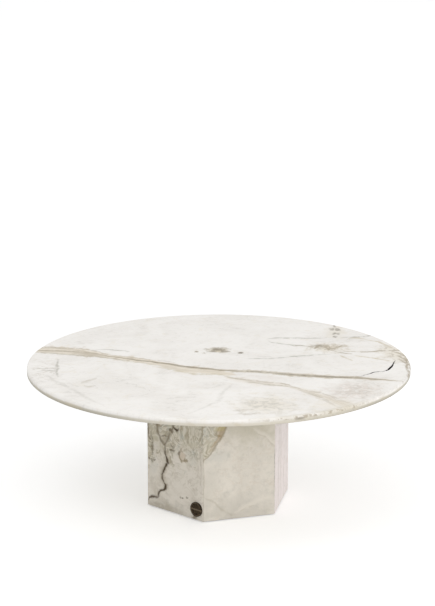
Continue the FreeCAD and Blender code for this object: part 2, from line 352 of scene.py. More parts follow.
def top_ground(stone):
    """The top's white ground: long grey streaks, a fine mottle, faint stains and hair lines."""
    bedding = stone.mapped(stone.face, stretch=(3, 12, 1))
    streaks = stone.noise(bedding, 1, detail=6, roughness=0.65, distortion=0.6)
    stone.lay(stone.fade(streaks, 0.5, 0.75), GREY, 0.08)
    mottle = stone.noise(stone.face, 60, detail=5, roughness=0.7)
    stone.lay(stone.fade(mottle, 0.5, 0.72), GREY, 0.18)
    stains = stone.noise(stone.face, 25, detail=5, roughness=0.7, distortion=0.6)
    stone.lay(stone.fade(stains, 0.52, 0.75), PALE_BEIGE, 0.4)
    crystals = stone.noise(stone.face, 130, detail=3, roughness=0.6)
    stone.lay(stone.fade(crystals, 0.5, 0.7), TOP_WHITE, 0.5)
    hairs = stone.both(stone.threads(4, 0.012, stretch=(1, 2, 1)), stone.fade(stone.clouds, 0.45, 0.62))
    stone.lay(hairs, GREY, 0.3)


def main_band(stone):
    """The beige band that enters at the left, full of brown fibres."""
    line = [
        (-0.64, 0.148), (-0.54, 0.144), (-0.44, 0.117), (-0.35, 0.066), (-0.24, 0.016),
        (-0.168, -0.034), (-0.10, -0.083), (-0.02, -0.104), (0.06, -0.145),
    ]
    band = stone.vein(line, 0.050, taper=(0.7, 0.92, 1, 0.7, 0.77, 0.79, 0.85, 0), soft=0.5)
    stone.lay(band, BAND_BEIGE, 0.6)
    fibres = stone.both(band, stone.streaks(line, fineness=50))
    stone.lay(fibres, BROWN, 0.2)
    towards_left = stone.fade(stone.spot[0], -0.2, -0.42)
    stone.lay(stone.both(fibres, towards_left), BROWN, 0.4)


def band_strands(stone):
    """The band's brown strands, a smear under its right end and a grey streak above it."""
    upper = [
        (-0.64, 0.170), (-0.544, 0.176), (-0.507, 0.165), (-0.438, 0.152), (-0.396, 0.128),
        (-0.354, 0.090), (-0.313, 0.068), (-0.249, 0.042), (-0.181, 0.018), (-0.12, -0.024),
    ]
    middle = [(-0.64, 0.146), (-0.51, 0.134), (-0.40, 0.104), (-0.31, 0.045), (-0.24, 0.012)]
    lower = [
        (-0.64, 0.122), (-0.54, 0.109), (-0.473, 0.089),
        (-0.392, 0.062), (-0.291, 0.018), (-0.20, -0.03),
    ]
    strands = stone.most(
        stone.vein(upper, 0.010, taper=(1, 1, 1, 0.8, 0.8, 0)),
        *[stone.vein(line, 0.010, taper=(1, 1, 1, 0)) for line in (middle, lower)],
    )
    stone.speckle(strands, BROWN, 0.62)
    smear = [
        (-0.21, -0.045), (-0.144, -0.081), (-0.099, -0.112),
        (-0.068, -0.134), (-0.02, -0.130), (0.04, -0.155),
    ]
    stone.speckle(stone.vein(smear, 0.014), BEIGE, 0.7)
    stone.lay(stone.vein([(-0.40, 0.146), (-0.35, 0.144), (-0.28, 0.122)], 0.009), GREY, 0.8)


def core_line(stone):
    """The dark line that runs out of the band to the right, nearly to the rim."""
    core = [
        (-0.37, 0.085), (-0.30, 0.044), (-0.25, 0.023), (-0.216, 0.008), (-0.163, -0.018),
        (-0.11, -0.048), (-0.041, -0.071), (0.028, -0.094), (0.10, -0.104), (0.25, -0.142),
        (0.36, -0.169), (0.475, -0.194), (0.572, -0.213),
    ]
    taper = (0, 0.7, 0.8, 0.8, 0.9, 1, 1, 0.8, 0)
    wide = stone.vein(core, 0.022, taper, soft=0.6)
    stone.lay(wide, BEIGE, 0.6)
    stone.lay(stone.both(wide, stone.streaks(core, fineness=95)), BROWN, 0.7)
    stone.speckle(stone.vein(core, 0.010, taper), DARK_BROWN, 0.8)
    crisp_stretch = core[1:8]
    stone.lay(stone.vein(crisp_stretch, 0.006), DARK_BROWN, 0.65)


def branch_veins(stone):
    """The pale branch that leaves the band, runs down to the right and fans out before the rim."""
    branch = [
        (-0.04, -0.112), (0.011, -0.138), (0.041, -0.176), (0.071, -0.202), (0.115, -0.222),
        (0.16, -0.238), (0.20, -0.255), (0.236, -0.292), (0.28, -0.335), (0.315, -0.378),
        (0.35, -0.430), (0.41, -0.480),
    ]
    share = stone.vein(branch, 0.060, taper=(0, 0.55, 0.65, 0.6, 0.75, 0.85, 0), soft=0.8)
    stone.lay(share, BAND_BEIGE, 0.4)
    stone.lay(stone.both(share, stone.streaks(branch, fineness=150)), BROWN, 0.4)
    edges = [
        [(0.0, -0.130), (0.041, -0.172), (0.071, -0.196), (0.115, -0.212), (0.17, -0.226)],
        [(0.13, -0.222), (0.19, -0.234), (0.225, -0.262), (0.25, -0.296)],
        [(0.08, -0.218), (0.12, -0.236), (0.17, -0.258), (0.21, -0.266), (0.25, -0.310)],
    ]
    stone.speckle(stone.most(*[stone.vein(line, 0.010) for line in edges]), BROWN, 0.6)
    fan = stone.most(
        stone.vein([(0.23, -0.28), (0.276, -0.319), (0.312, -0.338), (0.349, -0.402), (0.39, -0.44)], 0.010),
        stone.vein([(0.23, -0.295), (0.26, -0.332), (0.292, -0.367), (0.332, -0.442), (0.36, -0.475)], 0.010),
        stone.vein([(0.28, -0.315), (0.326, -0.355), (0.37, -0.417), (0.41, -0.460)], 0.009),
        stone.vein([(0.285, -0.375), (0.325, -0.436), (0.35, -0.480)], 0.009),
    )
    stone.speckle(fan, BROWN, 0.42)
    stone.lay(stone.patch((0.15, -0.178), (0.08, 0.05), turn=math.radians(-15)), LILAC, 0.3)


def stained_patches(stone):
    """Clouded patches, each with its own small veins inside."""
    steep_net = stone.threads(11, 0.06, stretch=(2, 1, 1))
    fine_net = stone.threads(20, 0.06, stretch=(1, 1.3, 1))
    high = stone.patch((0.35, 0.170), (0.085, 0.075))
    stone.lay(high, PALE_BEIGE, 0.75)
    stone.lay(stone.both(high, stone.most(steep_net, fine_net)), BROWN, 0.75)
    stone.speckle(stone.patch((0.32, 0.188), (0.035, 0.034)), DARK_BROWN, 0.55)
    right = stone.patch((0.565, 0.09), (0.07, 0.17), turn=math.radians(15))
    stone.lay(right, PALE_BEIGE, 0.6)
    stone.lay(stone.both(right, steep_net), BROWN, 0.45)
    left = stone.patch((-0.53, -0.09), (0.08, 0.20))
    stone.lay(stone.both(left, fine_net), BROWN, 0.28)
    low = stone.patch((0.14, -0.455), (0.13, 0.13))
    stone.lay(low, PALE_BEIGE, 0.5)
    stone.lay(stone.both(low, fine_net), GREY, 0.5)
    mauve = stone.patch((0.405, -0.315), (0.11, 0.13), turn=math.radians(-20))
    stone.lay(mauve, LILAC, 0.6)
    crystals = stone.fade(stone.noise(stone.face, 55, detail=3), 0.5, 0.6)
    stone.lay(stone.both(mauve, crystals), TOP_WHITE, 0.7)
    stone.lay(stone.both(mauve, fine_net), GREY, 0.35)
    stone.lay(stone.patch((0.35, -0.45), (0.10, 0.09)), PALE_BEIGE, 0.4)


def top_spots(stone):
    """The small brown spots of the top."""
    spots = stone.most(
        stone.patch((-0.006, 0.140), (0.050, 0.042)),
        stone.vein([(-0.044, 0.119), (-0.006, 0.126), (0.04, 0.118)], 0.013),
        stone.patch((-0.071, 0.123), (0.009, 0.012)),
        stone.patch((0.070, 0.111), (0.013, 0.012)),
    )
    stone.lay(spots, BEIGE, 0.9)
    stone.speckle(spots, DARK_BROWN, 0.8)
    stone.lay(stone.patch((0.070, 0.111), (0.010, 0.009), core=0.5), UMBER, 0.6)
    smears = stone.most(
        stone.patch((0.09, -0.541), (0.06, 0.016)),
        stone.patch((0.06, -0.505), (0.04, 0.014)),
    )
    stone.speckle(smears, BROWN, 0.45)
    wedge = stone.most(
        stone.vein([(-0.418, -0.236), (-0.395, -0.207), (-0.368, -0.188)], 0.024),
        stone.vein([(-0.408, -0.250), (-0.387, -0.270), (-0.370, -0.248)], 0.014),
    )
    stone.speckle(wedge, MOSS, 0.45)
    chain = [(0.386, 0.444), (0.377, 0.400), (0.395, 0.396), (0.387, 0.345), (0.399, 0.340), (0.389, 0.306)]
    stone.lay(stone.patch((0.388, 0.37), (0.05, 0.12)), PALE_BEIGE, 0.45)
    dots = stone.most(*[stone.patch(place, (0.011, 0.022), core=0.4) for place in chain])
    stone.speckle(dots, DARK_BROWN, 0.7)


def top_lines(stone):
    """The thin brown, beige and grey lines of the top."""
    level = [(0.36, 0.140), (0.427, 0.123), (0.506, 0.131), (0.58, 0.140)]
    at_right_rim = [
        [(0.545, 0.135), (0.565, 0.118), (0.59, 0.075)],
        [(0.558, 0.090), (0.575, 0.060), (0.60, 0.010)],
        [(0.558, 0.050), (0.578, 0.010), (0.605, -0.050)],
    ]
    browns = stone.most(
        stone.vein([(0.234, 0.196), (0.27, 0.187), (0.31, 0.172)], 0.011),
        stone.vein([(0.303, 0.145), (0.312, 0.170), (0.322, 0.192), (0.342, 0.204)], 0.009),
        stone.vein([(0.335, 0.205), (0.345, 0.180), (0.352, 0.148), (0.372, 0.130)], 0.009),
        stone.vein([(0.352, 0.150), (0.380, 0.175), (0.405, 0.205)], 0.008),
        stone.vein(level, 0.010, taper=(0, 0.8, 1, 1)),
        stone.vein([(0.355, 0.150), (0.387, 0.109), (0.425, 0.094)], 0.010),
        *[stone.vein(line, 0.008, taper=(0, 1, 1)) for line in at_right_rim],
    )
    stone.speckle(browns, BROWN, 0.85)
    faint = stone.most(
        stone.vein([(0.425, 0.262), (0.456, 0.284), (0.49, 0.272)], 0.014),
        stone.vein([(0.385, 0.078), (0.405, 0.040), (0.420, 0.010)], 0.010),
        stone.vein([(0.43, 0.078), (0.479, 0.052), (0.54, 0.018)], 0.012),
        stone.vein([(0.47, 0.282), (0.513, 0.238), (0.565, 0.155)], 0.012),
    )
    stone.speckle(faint, BEIGE, 0.8)
    greys = stone.most(
        stone.vein([(0.08, 0.038), (0.16, 0.042), (0.248, 0.070), (0.36, 0.086)], 0.010),
        stone.vein([(0.15, 0.268), (0.20, 0.284), (0.27, 0.280), (0.36, 0.298)], 0.011),
        stone.vein([(0.39, 0.290), (0.46, 0.296), (0.52, 0.340)], 0.011, taper=(0, 1, 1)),
        stone.vein([(0.155, 0.266), (0.18, 0.226), (0.24, 0.196), (0.30, 0.188)], 0.009),
        stone.vein([(-0.57, -0.062), (-0.53, -0.070), (-0.49, -0.064)], 0.008),
        stone.vein([(-0.56, -0.100), (-0.52, -0.094), (-0.49, -0.102)], 0.008),
        stone.vein([(-0.492, -0.165), (-0.500, -0.06), (-0.503, 0.04)], 0.009),
    )
    stone.speckle(greys, GREY, 0.8)
    falling = [(-0.535, -0.122), (-0.49, -0.221), (-0.428, -0.314), (-0.385, -0.395), (-0.33, -0.48)]
    rising = [(-0.09, -0.541), (-0.029, -0.453), (0.001, -0.408), (0.01, -0.332), (0.046, -0.23)]
    pale_greys = stone.most(
        stone.vein(falling, 0.014),
        stone.vein([(-0.465, -0.329), (-0.452, -0.326), (-0.437, -0.331)], 0.010),
        stone.vein(rising, 0.014),
    )
    stone.speckle(pale_greys, GREY, 0.28)


def black_crack(stone):
    """The black crack near the right edge. It gives back how much of it shows."""
    line = [
        (0.385, -0.180), (0.405, -0.172), (0.43, -0.163), (0.457, -0.141), (0.484, -0.112),
        (0.512, -0.096), (0.525, -0.086), (0.538, -0.058), (0.547, -0.024), (0.552, 0.004), (0.556, 0.030),
    ]
    crack = stone.vein(line, 0.0065, taper=(0, 0.5, 0.7, 0.85, 1, 0.8, 0.65, 0.5, 0), soft=0.5)
    stone.lay(crack, CRACK)
    return crack


def mottled_border(stone, depth, reach, stains):
    """A beige border and brown dashes along the rim at the front right."""
    across, away = stone.plain
    front_right = stone.both(stone.span(across, (0.05, 0.25), (0.47, 0.38)), stone.fade(away, 0, -0.2))
    border = stone.both(stone.fade(reach, BORDER_START, BORDER_FULL), front_right)
    stone.lay(stone.both(border, stone.most(stains, stone.broken)), RIM_BEIGE, 0.6)
    dashes = stone.both(stone.fade(stone.noise(stone.place, 70, detail=3), 0.48, 0.6), front_right)
    rounding = stone.fade(stone.off(depth, RIM_ROUND), RIM_ROUND * 0.9, RIM_ROUND * 0.4)
    stone.lay(stone.both(rounding, dashes), BROWN, 0.6)


def shaded_and_stained_rim(stone):
    """A grey underside, which is painted shade, and a rim with painted shade: beige at the front, greyer to
    the left and right and darker along its foot, with stains and a dark speck on it.
    """
    across, away = stone.plain
    depth = stone.math("SUBTRACT", TOP_HEIGHT, stone.parts(stone.place)[2])
    reach = stone.math("SQRT", stone.math("ADD", stone.both(across, across), stone.both(away, away)))
    below = stone.fade(depth, RIM_ROUND, RIM_ROUND * 2.5)
    # Painted shade: the underside is laid grey so that it throws less light down onto the panel tops.
    stone.lay(stone.both(below, stone.fade(reach, RIM_START, UNDERSIDE_END)), RIM_SHADE_GREY, 0.6)
    # Painted shade: the rim below its rounding is laid beige, darker than the top, as an edge turned away
    # from the light from above.
    rim = stone.both(below, stone.fade(reach, UNDERSIDE_END, RIM_START))
    stone.lay(rim, RIM_BEIGE, 0.9)
    # Painted shade: towards the left and right the rim is laid greyer still.
    shaded_shoulders = stone.fade(stone.off(stone.spot[0], 0), 0.1, 0.45)
    stone.lay(stone.both(rim, shaded_shoulders), RIM_SHADE_GREY, 0.9)
    off_top = stone.fade(depth, RIM_ROUND * 0.6, RIM_ROUND * 1.6)
    stains = stone.fade(stone.noise(stone.place, 14, detail=5, roughness=0.65), 0.5, 0.65)
    stone.lay(stone.both(off_top, stains), BEIGE, 0.4)
    mottled_border(stone, depth, reach, stains)
    # Painted shade: an umber band along the lower edge of the rim, at the left and right.
    foot = stone.both(rim, stone.fade(depth, RIM_ROUND * 2.2, RIM_ROUND * 3.2))
    stone.lay(stone.both(foot, shaded_shoulders), UMBER, 0.2)
    high_up = stone.fade(depth, RIM_ROUND * 3, RIM_ROUND)
    speck = stone.both(stone.patch((0.236, -0.553), (0.018, 0.03)), high_up)
    stone.lay(stone.both(off_top, speck), DARK_BROWN, 0.8)


def top_stone():
    """White marble with a brown band across it, a branch, a black crack and stained patches."""
    stone = Stone("top_stone", BEDDING_TURN, standing=False, wander=TOP_WANDER, ground=(TOP_WHITE, TOP_GREY))
    top_ground(stone)
    main_band(stone)
    band_strands(stone)
    core_line(stone)
    branch_veins(stone)
    stained_patches(stone)
    top_spots(stone)
    top_lines(stone)
    crack = black_crack(stone)
    shaded_and_stained_rim(stone)
    return stone.polish(crack, least_roughness=0.32)


def panel_ground(stone):
    """Cream stone with a fine mottle and a few hair lines."""
    mottle = stone.noise(stone.face, 40, detail=5, roughness=0.7)
    stone.lay(stone.fade(mottle, 0.46, 0.7), GREY, 0.24)
    crystals = stone.noise(stone.face, 130, roughness=0.6)
    stone.lay(stone.fade(crystals, 0.5, 0.65), PANEL_CREAM, 0.35)
    stone.lay(stone.threads(5, 0.012), TAN, 0.12)


def contour_lines(stone, figured):
    """Brown and cream contour lines, as in agate."""
    field = stone.noise(stone.face, 17, detail=3, distortion=1.4)
    waves = stone.math("SINE", stone.math("MULTIPLY", field, CONTOUR_DENSITY))
    strong = stone.both(figured, stone.fade(stone.noise(stone.face, 20, detail=3), 0.35, 0.6))
    stone.lay(stone.both(stone.fade(waves, 0, 1), strong), BROWN, 0.58)
    stone.lay(stone.both(stone.fade(waves, -0.3, -1), figured), PANEL_CREAM, 0.55)


def contours(stone, figured):
    """Contour lines on a green-grey ground with cool patches."""
    stone.lay(figured, PANEL_GREEN, 0.75)
    cool = stone.fade(stone.noise(stone.face, 22, roughness=0.6, distortion=1.0), 0.5, 0.65)
    stone.lay(stone.both(cool, figured), FLINT, 0.5)
    contour_lines(stone, figured)


def agate(stone, middle, size):
    """A swirling figure of contour lines within an ellipse."""
    contours(stone, stone.patch(middle, size, core=0.6))


def stone_eye(stone, right, height):
    """A small tan eye in a broken brown ring."""
    stone.lay(stone.patch((right, height), (0.038, 0.032), core=0.6), PANEL_CREAM, 0.45)
    outer = stone.patch((right, height), (0.020, 0.022), core=0.6)
    inner = stone.patch((right + 0.002, height + 0.003), (0.015, 0.016), core=0.5)
    stone.lay(outer, TAN, 0.35)
    ring = stone.both(outer, stone.fade(inner, 0.8, 0.1))
    stone.speckle(ring, BROWN, 0.9)
    stone.lay(stone.patch((right - 0.013, height + 0.008), (0.006, 0.011), core=0.4), UMBER, 0.5)


def forked_vein(stone):
    """The dark vein that climbs from the lower left corner and forks under the top."""
    left_arm = [(-0.046, 0.212), (-0.056, 0.224), (-0.065, 0.240), (-0.072, 0.262), (-0.078, 0.30)]
    right_arm = [(-0.045, 0.212), (-0.036, 0.227), (-0.028, 0.241), (-0.015, 0.268), (-0.004, 0.30)]
    arms = stone.most(*[stone.vein(arm, 0.009, taper=(1, 1, 1, 1)) for arm in (left_arm, right_arm)])
    forked = stone.both(arms, stone.fade(stone.spot[1], 0.208, 0.216))
    stone.lay(forked, BROWN, 0.55)
    stone.speckle(forked, UMBER, 0.5)
    trunk = [
        (-0.069, 0.038), (-0.068, 0.050), (-0.050, 0.069), (-0.041, 0.083), (-0.050, 0.094),
        (-0.054, 0.108), (-0.048, 0.130), (-0.038, 0.153), (-0.033, 0.170), (-0.039, 0.182), (-0.045, 0.224),
    ]
    stone.speckle(stone.vein(trunk, 0.020), BROWN, 0.55)
    foot = [
        (-0.119, 0.004), (-0.113, 0.022), (-0.106, 0.031),
        (-0.089, 0.038), (-0.066, 0.042), (-0.058, 0.056),
    ]
    hook = [(-0.010, 0.290), (0.002, 0.280), (0.009, 0.278), (0.017, 0.282), (0.022, 0.294)]
    dark = stone.most(
        stone.vein(trunk, 0.009, taper=(0, 0.8, 0.9, 0.7, 0.7, 0.8, 0.9, 1, 0.7, 0.6, 0), soft=0.8),
        stone.vein(foot, 0.009, taper=(0, 1, 1, 0.8, 0)),
        stone.vein(hook, 0.009),
    )
    stone.lay(stone.both(dark, stone.fade(stone.broken, -0.6, 0.6)), UMBER, 0.95)
    return dark


def clouded_ground(stone):
    """Green and cool swirls, paler in the panel's lower half, with a veil of contour lines."""
    swirls = stone.noise(stone.face, 16, detail=5, roughness=0.6, distortion=2.5)
    stone.lay(stone.fade(swirls, 0.45, 0.62), PANEL_GREEN, 0.4)
    cool = stone.both(stone.fade(swirls, 0.45, 0.3), stone.fade(stone.spot[1], 0.16, 0.25))
    stone.lay(cool, FLINT, 0.45)
    low = stone.patch((0.05, 0.10), (0.16, 0.18), core=0.5)
    mottle = stone.noise(stone.face, 28, detail=5, roughness=0.7)
    stone.lay(stone.both(low, stone.fade(mottle, 0.3, 0.6)), PANEL_CREAM, 0.85)
    stone.lay(low, PANEL_CREAM, 0.4)
    stone.lay(stone.patch((-0.1, 0.10), (0.05, 0.11), core=0.5), PANEL_CREAM, 0.6)
    scribbles = stone.threads(9, 0.06, stretch=(1, 1.5, 1))
    stone.lay(stone.both(scribbles, stone.fade(stone.clouds, 0.35, 0.55)), BROWN, 0.22)
    veil = stone.patch((0.055, 0.16), (0.14, 0.13), core=0.4)
    contour_lines(stone, stone.math("MULTIPLY", veil, 0.55))


def upright_strokes(stone):
    """Pale and brown strokes beside the front corner."""
    pale = stone.most(
        stone.vein([(0.108, 0.225), (0.114, 0.18), (0.112, 0.14), (0.116, 0.09)], 0.010),
        stone.vein([(0.098, 0.205), (0.102, 0.17), (0.100, 0.13)], 0.008),
    )
    stone.speckle(pale, PANEL_CREAM, 0.8)
    shade = stone.most(
        stone.vein([(0.103, 0.235), (0.108, 0.19), (0.106, 0.15), (0.110, 0.10)], 0.006),
        stone.vein([(0.092, 0.215), (0.096, 0.18), (0.094, 0.14)], 0.006),
    )
    stone.speckle(shade, BROWN, 0.35)


def brown_stains(stone):
    """Stains round the fork, a smudge along the foot, and small dark strokes and flecks."""
    stains = stone.most(
        stone.patch((-0.046, 0.232), (0.014, 0.014), core=0.4),
        stone.patch((-0.072, 0.272), (0.018, 0.024)),
        stone.patch((-0.031, 0.196), (0.007, 0.010)),
    )
    stone.lay(stains, BROWN, 0.5)
    smudge = stone.vein([(-0.12, 0.008), (-0.076, 0.012), (-0.022, 0.014), (0.035, 0.004)], 0.018)
    stone.speckle(smudge, BROWN, 0.45)
    stone.lay(stone.patch((-0.02, 0.0), (0.15, 0.045), core=0.4), GREY, 0.3)
    left_stroke = [(-0.113, 0.290), (-0.109, 0.240), (-0.101, 0.220), (-0.097, 0.195), (-0.095, 0.172)]
    flecks = [
        ((-0.112, 0.157), (0.008, 0.007)),
        ((-0.102, 0.156), (0.008, 0.007)),
        ((-0.090, 0.160), (0.008, 0.005)),
        ((-0.016, 0.274), (0.009, 0.011)),
        ((-0.012, 0.264), (0.007, 0.008)),
        ((0.023, 0.062), (0.006, 0.0045)),
        ((0.033, 0.063), (0.006, 0.0045)),
        ((0.050, 0.067), (0.006, 0.0045)),
    ]
    browns = stone.most(
        stone.vein([(-0.021, 0.228), (-0.017, 0.219), (-0.007, 0.217), (0.002, 0.227)], 0.007),
        stone.vein([(-0.024, 0.205), (-0.010, 0.205), (0.002, 0.212)], 0.006),
        stone.vein([(-0.063, 0.238), (-0.047, 0.244), (-0.028, 0.245)], 0.006),
        stone.vein(left_stroke, 0.009),
        stone.vein([(-0.100, 0.250), (-0.095, 0.215), (-0.092, 0.185)], 0.006),
        stone.patch((0.084, 0.010), (0.014, 0.016)),
        *[stone.patch(middle, size, core=0.4) for middle, size in flecks],
    )
    stone.speckle(browns, DARK_BROWN, 0.85)


def mark_front_left(stone):
    """An agate figure above, a forked dark vein down the left, and an eye beside it."""
    clouded_ground(stone)
    agate(stone, (0.02, 0.33), (0.19, 0.165))
    agate(stone, (-0.115, 0.24), (0.035, 0.12))
    upright_strokes(stone)
    stone.lay(stone.patch((0.075, 0.155), (0.06, 0.06), core=0.4), PANEL_CREAM, 0.35)
    cool = stone.most(
        stone.patch((0.065, 0.205), (0.034, 0.030), core=0.4),
        stone.patch((-0.095, 0.135), (0.022, 0.045), core=0.4),
    )
    stone.lay(cool, FLINT, 0.16)
    stone_eye(stone, 0.030, 0.195)
    brown_stains(stone)
    return forked_vein(stone)


def corner_figure(stone):
    """The agate figure's end in the upper left corner, with a tan band along its edge."""
    edge = [
        (-0.116, 0.194), (-0.113, 0.206), (-0.098, 0.216), (-0.080, 0.238),
        (-0.066, 0.257), (-0.052, 0.281), (-0.046, 0.300), (-0.01, 0.43),
    ]
    along, beside = stone.follow(edge)
    contours(stone, stone.both(stone.fade(beside, 0.002, -0.008), stone.fade(along, 0, 0.06)))
    line = [
        (-0.118, 0.204), (-0.106, 0.218), (-0.094, 0.231), (-0.078, 0.253),
        (-0.062, 0.278), (-0.056, 0.302), (-0.03, 0.43),
    ]
    band = stone.vein(line, 0.020, taper=(0, 0.5, 0.8, 1, 1, 1), soft=0.7)
    stone.lay(band, TAN, 0.55)
    stone.lay(stone.both(band, stone.streaks(line, fineness=90)), BROWN, 0.4)
    stone.lay(stone.patch((-0.059, 0.304), (0.020, 0.012), core=0.4), OLIVE, 0.6)
    stone.lay(stone.vein(edge, 0.008, taper=(0.4, 1, 1, 1, 1, 1)), BROWN, 0.7)
    return band


def pale_ribbons(stone):
    """Two pale ribbons, each with a thin edge, and a thin vein at the lower left."""
    upper = [(0.045, 0.292), (0.059, 0.282), (0.084, 0.264), (0.104, 0.245), (0.12, 0.229)]
    lower = [(-0.02, 0.022), (0.019, 0.038), (0.044, 0.048), (0.068, 0.057), (0.11, 0.064)]
    ribbons = stone.most(stone.vein(upper, 0.014, taper=(0, 1, 1, 1)), stone.vein(lower, 0.016))
    stone.lay(ribbons, PANEL_CREAM, 0.6)
    upper_edge = [(0.055, 0.276), (0.067, 0.268), (0.092, 0.248), (0.118, 0.225)]
    thin = stone.most(
        stone.vein(upper_edge, 0.006, taper=(0, 1, 1, 1)),
        stone.vein([(0.0, 0.024), (0.023, 0.034), (0.050, 0.041)], 0.006),
        stone.vein([(-0.112, 0.082), (-0.078, 0.062), (-0.054, 0.036), (-0.015, 0.014)], 0.007),
    )
    stone.speckle(thin, MOSS, 0.35)


def mark_front(stone):
    """The agate figure's end, pale ribbons, and a dark stretch of the joint at the right."""
    stone.lay(stone.patch((-0.11, 0.09), (0.07, 0.16)), PANEL_GREY, 0.5)
    stone.lay(stone.patch((0.04, 0.31), (0.15, 0.10)), PANEL_GREEN, 0.6)
    stone.lay(stone.patch((0.0, 0.03), (0.16, 0.09)), GREY, 0.3)
    stone.lay(stone.patch((-0.07, 0.21), (0.05, 0.03)), FLINT, 0.2)
    band = corner_figure(stone)
    pale_ribbons(stone)
    across, height = stone.plain
    joint = stone.fade(stone.off(across, PANEL_JOINT), 0.003, 0.001)
    stretch = stone.span(height, (0.08, 0.12), (0.23, 0.19))
    stone.speckle(stone.both(joint, stretch), UMBER, 0.85)
    return band


def mark_front_right(stone):
    """Upright stripes."""
    upright = stone.mapped(stone.face, stretch=(42, 2, 1))
    stripes = stone.fade(stone.noise(upright, 1, detail=5, roughness=0.7), 0.46, 0.64)
    stone.lay(stripes, GREY, 0.24)
    return stripes


def mark_back_right(stone):
    """Two slanting veins, a wide tan one and a thin brown one."""
    line = [(-0.12, 0.10), (-0.04, 0.17), (0.05, 0.22), (0.12, 0.33)]
    taper = (1, 0.6, 0.8, 1)
    wide = stone.vein(line, 0.034, taper, soft=0.6)
    stone.lay(wide, PANEL_GREEN, 0.6)
    stone.lay(stone.both(wide, stone.streaks(line, fineness=110)), TAN, 0.8)
    stone.speckle(stone.vein(line, 0.008, taper), BROWN, 0.8)
    lower = [(-0.12, 0.06), (-0.05, 0.13), (0.03, 0.145), (0.12, 0.20)]
    stone.speckle(stone.vein(lower, 0.008, taper=(1, 0.7, 1, 0.7)), DARK_BROWN, 0.6)
    return wide


def mark_back(stone):
    """A forked umber vein and a small clouded figure."""
    agate(stone, (-0.06, 0.12), (0.09, 0.10))
    trunk = [(-0.02, -0.01), (-0.04, 0.12), (0.01, 0.22), (0.03, 0.32), (0.08, 0.44)]
    vein = stone.vein(trunk, 0.008, taper=(0.8, 1, 0.8, 1, 0.8))
    stone.lay(vein, UMBER, 0.85)
    fork = [(0.01, 0.22), (-0.05, 0.31), (-0.07, 0.44)]
    stone.lay(stone.vein(fork, 0.007, taper=(0, 1, 1)), DARK_BROWN, 0.8)
    return vein


def mark_back_left(stone):
    """An agate figure that carries on round the corner, with a brown vein across it."""
    agate(stone, (0.08, 0.30), (0.12, 0.18))
    line = [(-0.12, 0.36), (-0.03, 0.28), (0.04, 0.16), (0.12, 0.10)]
    vein = stone.vein(line, 0.012, taper=(1, 0.8, 1, 1))
    stone.speckle(vein, BROWN, 0.8)
    return vein


# Each panel's turn about the pedestal's axis, in degrees, the two colours of its ground, and its own marks.
PANELS = {
    "panel_front": (0, (PANEL_CREAM, PANEL_SAND), mark_front),
    "panel_front_right": (60, (PANEL_LILAC, PANEL_LILAC), mark_front_right),
    "panel_back_right": (120, (PANEL_LILAC, PANEL_CREAM), mark_back_right),
    "panel_back": (180, (PANEL_CREAM, PANEL_GREY), mark_back),
    "panel_back_left": (240, (PANEL_CREAM, PANEL_GREY), mark_back_left),
    "panel_front_left": (300, (PANEL_CREAM, PANEL_GREY), mark_front_left),
}


def panel_stone(name):
    """Clouded marble with the panel's own marks, a little sunk along the marks that it gives back."""
    turn, ground, mark = PANELS[name]
    stone = Stone(name + "_stone", math.radians(-turn), standing=True, wander=PANEL_WANDER, ground=ground)
    panel_ground(stone)
    return stone.polish(mark(stone), least_roughness=0.42)


def bronze():
    """Dark patinated bronze, worn bright on the plate's bar, with a painted highlight in a ring just inside
    its rim.
    """
    graph = Graph("bronze")
    brown = screen(86, 73, 57)
    black = screen(38, 31, 23)
    bare_and_highlight = screen(146, 132, 112)
    patina = graph.noise(graph.place, 260, detail=5, roughness=0.65)
    colour = graph.mix(graph.fade(patina, 0.4, 0.62), brown, black)
    low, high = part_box("medallion")
    middle = (low + high) / 2
    radius = (high.z - low.z) / 2
    from_bar = graph.off(graph.parts(graph.place)[2], middle.z)
    bar = graph.fade(from_bar, MEDALLION_BAR * 0.6, MEDALLION_BAR * 0.3)
    from_middle = graph.add("ShaderNodeVectorMath", {0: graph.place, 1: middle}, operation="DISTANCE")
    # Painted highlight: the ring just inside the rim is laid lighter, standing in for the light caught there;
    # the bar is worn bright.
    from_rim = graph.off(from_middle.outputs["Value"], radius - MEDALLION_RIM)
    rubbed_bar_and_rim_highlight = graph.most(bar, graph.fade(from_rim, MEDALLION_RIM / 2, 0))
    return graph.finish(
        Base_Color=graph.mix(graph.math("MULTIPLY", rubbed_bar_and_rim_highlight, 0.65), colour, bare_and_highlight),
        Metallic=1.0,
        Roughness=graph.ranged(patina, 0.34, 0.59),
        Normal=graph.bump(patina, distance=0.0003, strength=0.5),
    )


def plywood():
    """Birch plywood: pale faces with long grain, and thin plies along the edges."""
    graph = Graph("plywood")
    early_wood = screen(214, 186, 146)
    late_wood = screen(184, 150, 108)
    end_grain = screen(142, 104, 68)
    lengthwise = graph.mapped(graph.place, stretch=(6, 90, 90))
    grain = graph.noise(lengthwise, 1, detail=5, roughness=0.6, distortion=0.6)
    face = graph.mix(graph.fade(grain, 0.3, 0.7), early_wood, late_wood)
    height = graph.parts(graph.place)[2]
    plies = graph.math("SINE", graph.math("MULTIPLY", height, 2 * math.pi / PLY_THICKNESS))
    normal = graph.add("ShaderNodeNewGeometry").outputs["Normal"]
    level = graph.math("ABSOLUTE", graph.parts(normal)[2])
    on_edge = graph.both(graph.fade(plies, -0.2, 0.4), graph.fade(level, 0.7, 0.3))
    return graph.finish(
        Base_Color=graph.mix(on_edge, face, end_grain),
        Roughness=0.72,
        Normal=graph.bump(grain, distance=0.0003, strength=0.3),
    )


